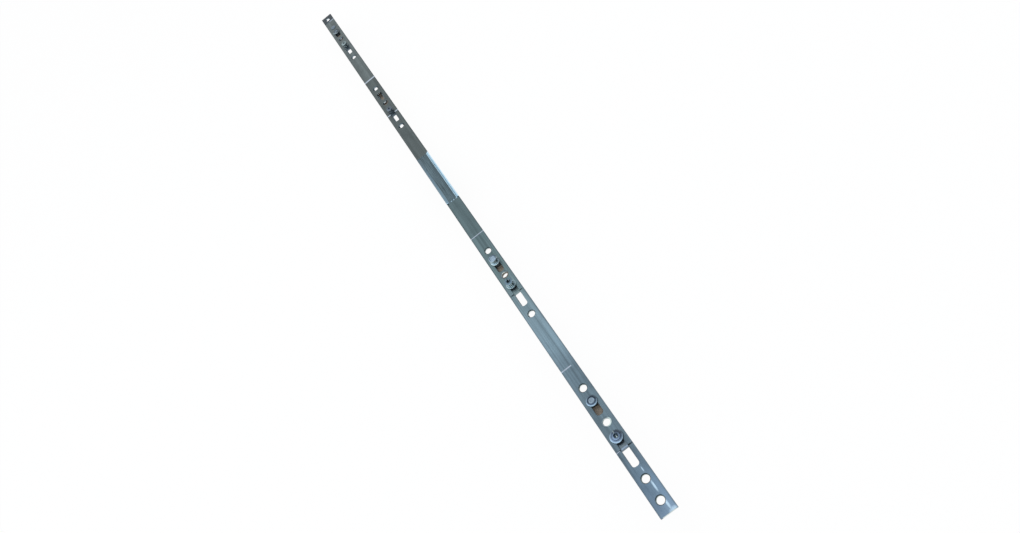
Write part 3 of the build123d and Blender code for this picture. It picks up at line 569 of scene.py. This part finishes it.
def zoned_cam_steel(name, zones, sides, light=CAM_LIGHT, offset=0.0, marked=False):
    """A turned cam: ring zones of tone, painted shade and painted highlights on its flats, and
    painted reflections as lengthwise stripes on its round sides.

    light is the painted shade and the painted highlight of its flats at opposite sides, and a
    marked cam has a line that shows how far it is turned.
    """
    nodes = Nodes(name)
    along, across, _ = nodes.parts(nodes.place)
    ahead = nodes.math("SUBTRACT", along, offset)
    reach = nodes.math("ADD", nodes.math("POWER", ahead, 2.0), nodes.math("POWER", across, 2.0))
    reach = nodes.math("MULTIPLY", nodes.math("SQRT", reach), 1 / (ZONES_REACH * MM))
    bands = nodes.colours(reach, [(radius / ZONES_REACH, colour) for radius, colour in zones])
    cloud = nodes.noise(nodes.place, 520.0)
    # Painted light across the flats, darker at one side and brighter at the other
    slant = nodes.math("SUBTRACT", nodes.math("MULTIPLY", along, 0.8), across)
    side_light = nodes.ramp(slant, -0.0045, 0.0055, *light)
    level = nodes.math("MULTIPLY", nodes.ramp(cloud, 0.3, 0.7, 0.7, 1.3), side_light)
    grey = nodes.add("ShaderNodeCombineXYZ")
    for socket in grey.inputs:
        nodes.link(level, socket)
    flat = nodes.mix(1.0, bands, grey.outputs[0], "MULTIPLY")
    if marked:
        narrow = nodes.ramp(nodes.math("ABSOLUTE", across), 0.00022, 0.00034, 1.0, 0.0)
        outwards = nodes.ramp(along, -0.0002, -0.0001, 1.0, 0.0)
        flat = nodes.mix(nodes.math("MULTIPLY", narrow, outwards), flat, shade(zones[1][1], 0.5))
    around = nodes.add("ShaderNodeVectorMath", operation="MULTIPLY")
    nodes.link(nodes.texture.outputs["Normal"], around.inputs[0])
    around.inputs[1].default_value = (1.0, 1.0, 0.0)
    stripes = nodes.noise(around.outputs[0], 3.2, 1.0, 0.5)
    # Painted reflections: dark and bright stripes on the round sides
    side = nodes.mix(nodes.ramp(stripes, 0.47, 0.56), *sides)
    tilt = nodes.math("ABSOLUTE", nodes.facing()[2])
    nodes.bump(cloud, 0.25, 0.00005)
    return nodes.finish(nodes.mix(nodes.ramp(tilt, 0.3, 0.6, 1.0, 0.0), flat, side), 0.75, 0.34)


def eyelet_zinc(name, colour, rim, walls, slant):
    """A rolled eyelet in the plate's zinc, its rim tinted on the side that lies along slant."""
    nodes = Nodes(name)
    along, across, _ = nodes.parts(nodes.place)
    cloud = nodes.noise(nodes.place, 500.0)
    base = nodes.mix(nodes.ramp(cloud, 0.35, 0.68), shade(colour, 0.85), shade(colour, 1.2))
    ahead = nodes.math(
        "ADD", nodes.math("MULTIPLY", along, slant[0]), nodes.math("MULTIPLY", across, slant[1])
    )
    base = nodes.mix(nodes.ramp(ahead, 0.0, 0.0026), base, rim)
    nodes.bump(cloud, 0.25, 0.00004)
    return nodes.finish(hole_walls(nodes, base, walls), 0.85, 0.36)


def satin_zinc(name, colour, roughness=0.42, grain=700.0):
    """Satin zinc with a fine cast or tumbled grain."""
    nodes = Nodes(name)
    grains = nodes.noise(nodes.place, grain, 5.0, 0.65)
    cloud = nodes.noise(nodes.place, 70.0, 4.0, 0.55)
    base = nodes.mix(nodes.ramp(grains, 0.35, 0.68), shade(colour, 0.75), shade(colour, 1.25))
    base = nodes.mix(nodes.ramp(cloud, 0.42, 0.7, 0.0, 0.45), base, shade(colour, 0.68))
    nodes.bump(grains, 0.35, 0.00008)
    rough = nodes.ramp(grains, 0.3, 0.7, roughness - 0.08, roughness + 0.1)
    return nodes.finish(base, 0.85, rough)


def brown_plastic(name, colour, lighter_spans=()):
    """Moulded guide plastic, dusty; with lighter spans, its upward faces are darker between them.
    """
    nodes = Nodes(name)
    dust = nodes.noise(nodes.place, 600.0)
    base = nodes.mix(nodes.ramp(dust, 0.35, 0.7), shade(colour, 0.75), shade(colour, 1.35))
    if lighter_spans:
        along, _, _ = nodes.parts(nodes.place)
        mask = 0.0
        for low, high in lighter_spans:
            mask = nodes.math("MAXIMUM", nodes.span(along, low, high, 0.5), mask)
        not_upward = nodes.ramp(nodes.facing()[2], 0.3, 0.5, 1.0, 0.0)
        mask = nodes.math("MAXIMUM", not_upward, mask)
        base = nodes.mix(mask, shade(colour, 0.4), base)
    nodes.bump(dust, 0.25, 0.00006)
    return nodes.finish(base, 0.0, nodes.ramp(dust, 0.3, 0.7, 0.38, 0.6))


def wear(obj, material):
    obj.data.materials.clear()
    obj.data.materials.append(material)


def finish_node(name, material, edge_round=0.0):
    """Gives a frame node its material, and rounds its sheared edges a little."""
    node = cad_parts[name]
    wear(node, material)
    if edge_round:
        weld = node.modifiers.new("Weld", "WELD")
        weld.merge_threshold = 1e-6
        bevel = node.modifiers.new("Edge round", "BEVEL")
        bevel.width = edge_round
        bevel.segments = 2
        bevel.limit_method = "ANGLE"
        bevel.angle_limit = math.radians(40)
        bevel.harden_normals = True


# Turned pieces


def softened(points, radius, steps=3):
    """The same profile with each inner corner rounded by a short arc."""
    result = [points[0]]
    for before, corner, after in zip(points, points[1:], points[2:]):
        start, middle, end = Vector(before), Vector(corner), Vector(after)
        reach_in = min(radius, (start - middle).length * 0.45)
        reach_out = min(radius, (end - middle).length * 0.45)
        a = middle + (start - middle).normalized() * reach_in
        b = middle + (end - middle).normalized() * reach_out
        for step in range(steps + 1):
            t = step / steps
            point = a.lerp(middle, t).lerp(middle.lerp(b, t), t)
            result.append((point.x, point.y))
    result.append(points[-1])
    return result


def round_rings(outline, shift=0.0):
    """Round rings for ring_piece from an outline of (radius, height)."""
    return [(radius, height, shift, 0) for radius, height in outline]


def ring_piece(name, rings, centre, segments=64, closed=False):
    """A mesh through stacked rings of (radius, height, x shift, sides); 0 sides is round.

    It is capped at both ends, or closed has its last ring joined to its first.
    """
    mesh = bmesh.new()
    loops = []
    for radius, height, shift, sides in rings:
        loop = []
        for step in range(segments):
            angle = 2 * math.pi * step / segments
            reach = radius
            if sides:
                part = math.pi / sides
                reach = radius / math.cos((angle % (2 * part)) - part)
            corner = (reach * math.cos(angle) + shift, reach * math.sin(angle), height)
            loop.append(mesh.verts.new(corner))
        loops.append(loop)
    pairs = list(zip(loops, loops[1:]))
    if closed:
        pairs.append((loops[-1], loops[0]))
    for lower, upper in pairs:
        for step in range(segments):
            following = (step + 1) % segments
            mesh.faces.new((lower[step], lower[following], upper[following], upper[step]))
    if not closed:
        mesh.faces.new(list(reversed(loops[0])))
        mesh.faces.new(loops[-1])
    bmesh.ops.recalc_face_normals(mesh, faces=mesh.faces)
    data = bpy.data.meshes.new(name)
    mesh.to_mesh(data)
    mesh.free()
    data.shade_smooth()
    data.set_sharp_from_angle(angle=math.radians(50))
    obj = bpy.data.objects.new(name, data)
    obj.location = centre
    bpy.context.scene.collection.objects.link(obj)
    return obj


def bored_piece(name, profile, centre, radius):
    """A round piece with a bore, from a profile that starts and ends at the same point."""
    return ring_piece(name, round_rings(softened(profile, radius)[:-1]), centre, closed=True)


def step_outline(steps, base, edge):
    """Outer profile of a cam's steps in metres from its base, with the top edge broken."""
    points = []
    level = base
    for radius, thick, _ in steps:
        points += [(radius * MM, level), (radius * MM, level + thick * MM)]
        level += thick * MM
    radius, top = points.pop()
    return points + [(radius, top - edge), (radius - edge, top)]


def middle_of(name):
    low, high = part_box(name)
    return (low[0] + high[0]) / 2, (low[1] + high[1]) / 2


def levels_of(name, datum=0.0):
    """A node's lowest and highest level above the datum."""
    low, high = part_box(name)
    return low[2] - datum, high[2] - datum


def settings():
    scene = bpy.context.scene
    return scene.espagnolette_finish, scene.espagnolette_sizes, scene.espagnolette_stage


class EspagnoletteOperator:
    bl_options = {"REGISTER", "UNDO"}


class OBJECT_OT_espagnolette_strip(EspagnoletteOperator, bpy.types.Operator):
    """Finish the four plates of the strip and the end tab"""

    bl_idname = "object.espagnolette_strip"
    bl_label = "Strip plates"

    def execute(self, context):
        finish, sizes, _ = settings()
        line = tuple(finish.line)
        far_end = shade(finish.far_plate, 1.3)
        plates = {
            "near_end_faceplate": brushed_zinc(
                "near_end_zinc", finish.near_plate, 0.4, 0.3, line, NEAR_WALLS, near_end=True
            ),
            "near_faceplate": brushed_zinc("near_zinc", finish.middle_plate, 0.25, 0.36, line),
            "far_faceplate": brushed_zinc(
                "far_zinc", finish.far_plate, 0.25, 0.38, line, FAR_WALLS
            ),
            "far_end_faceplate": brushed_zinc("far_end_zinc", far_end, 0.25, 0.38, line, FAR_WALLS),
            "end_tab": brushed_zinc("tab_zinc", finish.end_tab, 0.25, 0.42, line, FAR_WALLS),
        }
        for name, material in plates.items():
            finish_node(name, material, sizes.edge_round)
        return {"FINISHED"}


class OBJECT_OT_espagnolette_gearbox(EspagnoletteOperator, bpy.types.Operator):
    """Finish the gearbox cover, case, lid and follower"""

    bl_idname = "object.espagnolette_gearbox"
    bl_label = "Gearbox"

    def execute(self, context):
        finish, sizes, _ = settings()
        cover = folded_cover_zinc("cover_zinc_plate", finish.cover_floor, tuple(finish.cover_lip_highlight))
        case = satin_zinc("case_zinc_cast", finish.case)
        follower = satin_zinc("follower_sintered", shade(finish.case, 0.8), 0.38, 1200.0)
        finish_node("gearbox_cover", cover, sizes.edge_round)
        finish_node("gearbox_case", case, sizes.edge_round)
        finish_node("gearbox_lid", case, sizes.edge_round)
        finish_node("follower", follower, sizes.edge_round)
        return {"FINISHED"}


class OBJECT_OT_espagnolette_drive(EspagnoletteOperator, bpy.types.Operator):
    """Finish the drive rod, and the guides and splices behind the strip"""

    bl_idname = "object.espagnolette_drive"
    bl_label = "Drive rod"

    def execute(self, context):
        finish, sizes, _ = settings()
        rod = brushed_zinc("rod_zinc", finish.rod, 0.25, 0.36, glints=ROD_GLINTS)
        for name in ("far_rod", "rack_rod", "near_rod"):
            finish_node(name, rod, sizes.edge_round)
        guide = brown_plastic("guide_plastic_brown", finish.guide)
        plastics = {
            # The far end's guide is a lighter copy: painted light that offsets the shade in its
            # slot
            "far_end": brown_plastic("far_end_guide_plastic_brown", shade(finish.guide, 1.4)),
            "far": brown_plastic("far_guide_plastic_brown", finish.guide, LIGHTER_SPANS),
        }
        for station in STATIONS:
            finish_node(f"{station}_guide", plastics.get(station, guide), sizes.edge_round)
        splice = satin_zinc("splice_zinc", finish.case, 0.4, 900.0)
        for name in ("far_splice", "near_splice"):
            finish_node(name, splice, sizes.edge_round)
        return {"FINISHED"}


class OBJECT_OT_espagnolette_rivets(EspagnoletteOperator, bpy.types.Operator):
    """Finish the rivets, and build the eyelets with rolled rims"""

    bl_idname = "object.espagnolette_rivets"
    bl_label = "Rivets and eyelets"

    def execute(self, context):
        finish, sizes, _ = settings()
        steel = turned_steel("rivet_zinc", finish.rivet, 0.32)
        # The tab's rivets are a darker copy of the rivet steel: painted shade
        dull = turned_steel("tab_rivet_zinc", shade(finish.rivet, 0.75), 0.36)
        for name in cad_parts:
            if "rivet" in name:
                finish_node(name, dull if name.startswith("tab_rivet") else steel)
        # Rim tints on one side of each eyelet; the bright one at the near end is a painted
        # highlight
        brown, grey, bright = (0.17, 0.135, 0.11), (0.12, 0.13, 0.13), (0.5, 0.62, 0.62)
        looks = {
            "far_end": (finish.far_plate, grey, FAR_END_EYELET, (0.9, 0.4)),
            "far": (finish.far_plate, brown, FAR_WALLS, (0.9, 0.4)),
            "near": (finish.near_plate, brown, NEAR_WALLS, (0.9, 0.4)),
            "near_end": (finish.near_plate, bright, NEAR_WALLS, (0.5, 0.8)),
        }
        for station in STATIONS:
            source = f"{station}_eyelet"
            x, y = middle_of(source)
            rear, front = levels_of(source)
            start = (EYELET_R * MM, (front + rear) / 2)
            rim = [(radius * MM, front - depth * MM) for radius, depth in EYELET_RIM]
            profile = [start, *rim, (rim[-1][0], rear), (EYELET_R * MM, rear), start]
            eyelet = bored_piece(f"{source}_rolled", profile, (x, y, 0.0), sizes.cam_round)
            wear(eyelet, eyelet_zinc(f"{source}_zinc", *looks[station]))
            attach(eyelet, "strip")
            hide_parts(source)
        return {"FINISHED"}


class OBJECT_OT_espagnolette_rollers(EspagnoletteOperator, bpy.types.Operator):
    """Build the roller cams and the studs they turn on"""

    bl_idname = "object.espagnolette_rollers"
    bl_label = "Roller cams"

    def execute(self, context):
        finish, sizes, _ = settings()
        for station, steps in ROLLER_STEPS.items():
            source = f"{station}_roller"
            x, y = middle_of(source)
            base, top = levels_of(source, FACE_Z)
            bore, seat = ROLLER_BORE_R * MM, top - ROLLER_SEAT_DEPTH * MM
            start = (bore, (base + seat) / 2)
            profile = [start, (bore, base), *step_outline(steps, base, CAM_EDGE * MM)]
            profile += [(ROLLER_SEAT_R * MM, top), (ROLLER_SEAT_R * MM, seat), (bore, seat), start]
            roller = bored_piece(f"{source}_turned", profile, (x, y, FACE_Z), sizes.cam_round)
            wear(roller, zoned_cam_steel(
                f"{source}_zinc", ROLLER_ZONES[station], CAM_SIDE_REFLECTIONS[station]
            ))
            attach(roller, source)
            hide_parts(source)

            stud_source = f"{station}_roller_stud"
            foot, head = levels_of(stud_source, FACE_Z)
            collar_low, collar_top = STUD_COLLAR_Z * MM, base - ROLLER_PLAY * MM
            stud_profile = [
                (0.4 * MM, foot), (STUD_R * MM, foot), (STUD_R * MM, collar_low),
                (STUD_COLLAR_R * MM, collar_low), (STUD_COLLAR_R * MM, collar_top),
                (STUD_R * MM, collar_top),
            ]
            stud_profile += [(radius * MM, head - depth * MM) for radius, depth in STUD_HEAD]
            rings = round_rings(softened(stud_profile, PIN_ROUND * MM))
            stud = ring_piece(f"{stud_source}_peened", rings, (x, y, FACE_Z))
            # Painted light: the stud's colour lighter or darker by station
            stud_colour = shade(finish.rivet, STUD_LIGHT_LEVELS[station])
            wear(stud, turned_steel(f"{station}_stud_zinc", stud_colour, 0.3))
            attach(stud, "drive")
            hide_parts(stud_source)
        return {"FINISHED"}


class OBJECT_OT_espagnolette_eccentrics(EspagnoletteOperator, bpy.types.Operator):
    """Build the adjustable cams with their key sockets"""

    bl_idname = "object.espagnolette_eccentrics"
    bl_label = "Eccentric cams"

    def execute(self, context):
        _, sizes, _ = settings()
        offset = sizes.cam_offset
        for station, steps in ECCENTRIC_STEPS.items():
            source = f"{station}_eccentric"
            light = LOW_ECCENTRIC_LIGHT if station == "near_end" else SOFT_CAM_LIGHT
            steel = zoned_cam_steel(
                f"{source}_zinc", ECCENTRIC_ZONES[station], CAM_SIDE_REFLECTIONS[station], light, offset,
                marked=True,
            )
            centred = [step for step in steps if not step[2]]
            raised = [step for step in steps if step[2]]
            widest = max(radius for radius, _, _ in raised) * MM
            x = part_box(source)[1][0] - widest - offset
            foot, top = levels_of(source, FACE_Z)
            base = top - sum(thick for _, thick, _ in steps) * MM
            lower = [(radius * MM, foot + height * MM) for radius, height in PIN_FOOT]
            lower.append((PIN_R * MM, base))
            level = base
            for radius, thick, _ in centred:
                lower += [(radius * MM, level), (radius * MM, level + thick * MM)]
                level += thick * MM
            start = lower[-1][0] + offset + 0.1 * MM
            upper = [(start, level), *step_outline(raised, level, CAM_EDGE * MM), (3.0 * MM, top)]
            rings = round_rings(softened(lower, PIN_ROUND * MM))
            rings += round_rings(softened(upper, CAM_TOP_ROUND * MM), offset)
            half, depth = (size * MM for size in (SMALL_SOCKET if centred else WIDE_SOCKET))
            socket = (
                (half + 0.15 * MM, top), (half, top - 0.2 * MM),
                (half, top - depth + 0.1 * MM), (0.6 * MM, top - depth),
            )
            rings += [(reach, height, 0.0, SOCKET_SIDES) for reach, height in socket]
            cam = ring_piece(f"{source}_turned", rings, (x, 0.0, FACE_Z), segments=72)
            wear(cam, steel)
            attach(cam, source)
            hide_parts(source)
        return {"FINISHED"}


class OBJECT_OT_espagnolette_stage(EspagnoletteOperator, bpy.types.Operator):
    """Set the floor, the soft lights, the white surroundings and the camera"""

    bl_idname = "object.espagnolette_stage"
    bl_label = "Stage"

    def execute(self, context):
        scene = context.scene
        _, _, stage = settings()
        self.make_floor(cad_box[0][2], tuple(stage.floor))
        self.make_world(scene)
        for softbox in SOFTBOXES:
            self.make_light(*softbox)
        camera_data = bpy.data.cameras.new("Camera")
        camera_data.sensor_width = 36.0
        camera_data.lens = stage.lens
        camera_data.clip_start = 0.01
        camera = bpy.data.objects.new("Camera", camera_data)
        camera.location = stage.camera_place
        camera.rotation_euler = Euler(stage.camera_turn, "XYZ")
        scene.collection.objects.link(camera)
        scene.camera = camera
        scene.view_settings.view_transform = "Standard"
        return {"FINISHED"}

    def make_floor(self, level, colour):
        data = bpy.data.meshes.new("floor")
        signs = ((-1, -1), (1, -1), (1, 1), (-1, 1))
        corners = [(x * FLOOR_REACH, y * FLOOR_REACH, level) for x, y in signs]
        data.from_pydata(corners, [], [(0, 1, 2, 3)])
        floor = bpy.data.objects.new("floor", data)
        bpy.context.scene.collection.objects.link(floor)
        nodes = Nodes("pale_floor")
        nodes.shader.inputs["Base Color"].default_value = (*colour, 1.0)
        nodes.shader.inputs["Roughness"].default_value = 0.9
        nodes.shader.inputs["Specular IOR Level"].default_value = 0.0
        glow = nodes.add("ShaderNodeEmission")
        glow.inputs["Strength"].default_value = FLOOR_GLOW
        path = nodes.add("ShaderNodeLightPath")
        seen = nodes.math("MAXIMUM", path.outputs["Is Camera Ray"], path.outputs["Is Glossy Ray"])
        seen = nodes.math("MAXIMUM", seen, path.outputs["Is Transmission Ray"])
        mix = nodes.add("ShaderNodeMixShader")
        nodes.link(nodes.math("MULTIPLY", seen, FLOOR_GLOW_SHARE), mix.inputs[0])
        nodes.link(nodes.shader.outputs[0], mix.inputs[1])
        nodes.link(glow.outputs[0], mix.inputs[2])
        nodes.link(mix.outputs[0], nodes.output.inputs[0])
        wear(floor, nodes.material)

    def make_world(self, scene):
        world = bpy.data.worlds.new("White studio")
        world.use_nodes = True
        tree = world.node_tree
        tree.nodes.clear()
        output = tree.nodes.new("ShaderNodeOutputWorld")
        mix = tree.nodes.new("ShaderNodeMixShader")
        path = tree.nodes.new("ShaderNodeLightPath")
        seen = tree.nodes.new("ShaderNodeMath")
        seen.operation = "MAXIMUM"
        also = tree.nodes.new("ShaderNodeMath")
        also.operation = "MAXIMUM"
        lit = tree.nodes.new("ShaderNodeBackground")
        lit.inputs[0].default_value = WORLD_COLOUR
        lit.inputs[1].default_value = WORLD_STRENGTH
        white = tree.nodes.new("ShaderNodeBackground")
        white.inputs[0].default_value = (1.0, 1.0, 1.0, 1.0)
        for source, target in (
            (path.outputs["Is Camera Ray"], seen.inputs[0]),
            (path.outputs["Is Glossy Ray"], seen.inputs[1]),
            (seen.outputs[0], also.inputs[0]),
            (path.outputs["Is Transmission Ray"], also.inputs[1]),
            (also.outputs[0], mix.inputs[0]),
            (lit.outputs[0], mix.inputs[1]),
            (white.outputs[0], mix.inputs[2]),
            (mix.outputs[0], output.inputs[0]),
        ):
            tree.links.new(source, target)
        scene.world = world

    def make_light(self, name, place, target, size, energy):
        data = bpy.data.lights.new(name, "AREA")
        data.shape = "RECTANGLE"
        data.size, data.size_y = size
        data.energy = energy
        light = bpy.data.objects.new(name, data)
        light.location = place
        view = Vector(target) - Vector(place)
        light.rotation_euler = view.to_track_quat("-Z", "Y").to_euler()
        bpy.context.scene.collection.objects.link(light)


class VIEW3D_PT_espagnolette(bpy.types.Panel):
    """Settings and steps of the espagnolette's dressing"""

    bl_label = "Espagnolette lock"
    bl_space_type = "VIEW_3D"
    bl_region_type = "UI"
    bl_category = "Espagnolette"

    def draw(self, context):
        layout = self.layout
        for group in settings():
            box = layout.box()
            for key in group.__annotations__:
                box.prop(group, key)
        for operator in OPERATORS:
            layout.operator(operator.bl_idname)


GROUPS = {
    "espagnolette_finish": EspagnoletteFinish,
    "espagnolette_sizes": EspagnoletteSizes,
    "espagnolette_stage": EspagnoletteStage,
}
OPERATORS = (
    OBJECT_OT_espagnolette_strip,
    OBJECT_OT_espagnolette_gearbox,
    OBJECT_OT_espagnolette_drive,
    OBJECT_OT_espagnolette_rivets,
    OBJECT_OT_espagnolette_rollers,
    OBJECT_OT_espagnolette_eccentrics,
    OBJECT_OT_espagnolette_stage,
)


def register():
    for cls in (*GROUPS.values(), *OPERATORS, VIEW3D_PT_espagnolette):
        bpy.utils.register_class(cls)
    for key, group in GROUPS.items():
        setattr(bpy.types.Scene, key, bpy.props.PointerProperty(type=group))


def unregister():
    for key in GROUPS:
        delattr(bpy.types.Scene, key)
    for cls in reversed((*GROUPS.values(), *OPERATORS, VIEW3D_PT_espagnolette)):
        bpy.utils.unregister_class(cls)


def main():
    register()
    for operator in OPERATORS:
        category, name = operator.bl_idname.split(".")
        getattr(getattr(bpy.ops, category), name)()
    bpy.context.view_layer.update()


if __name__ == "__main__":
    main()
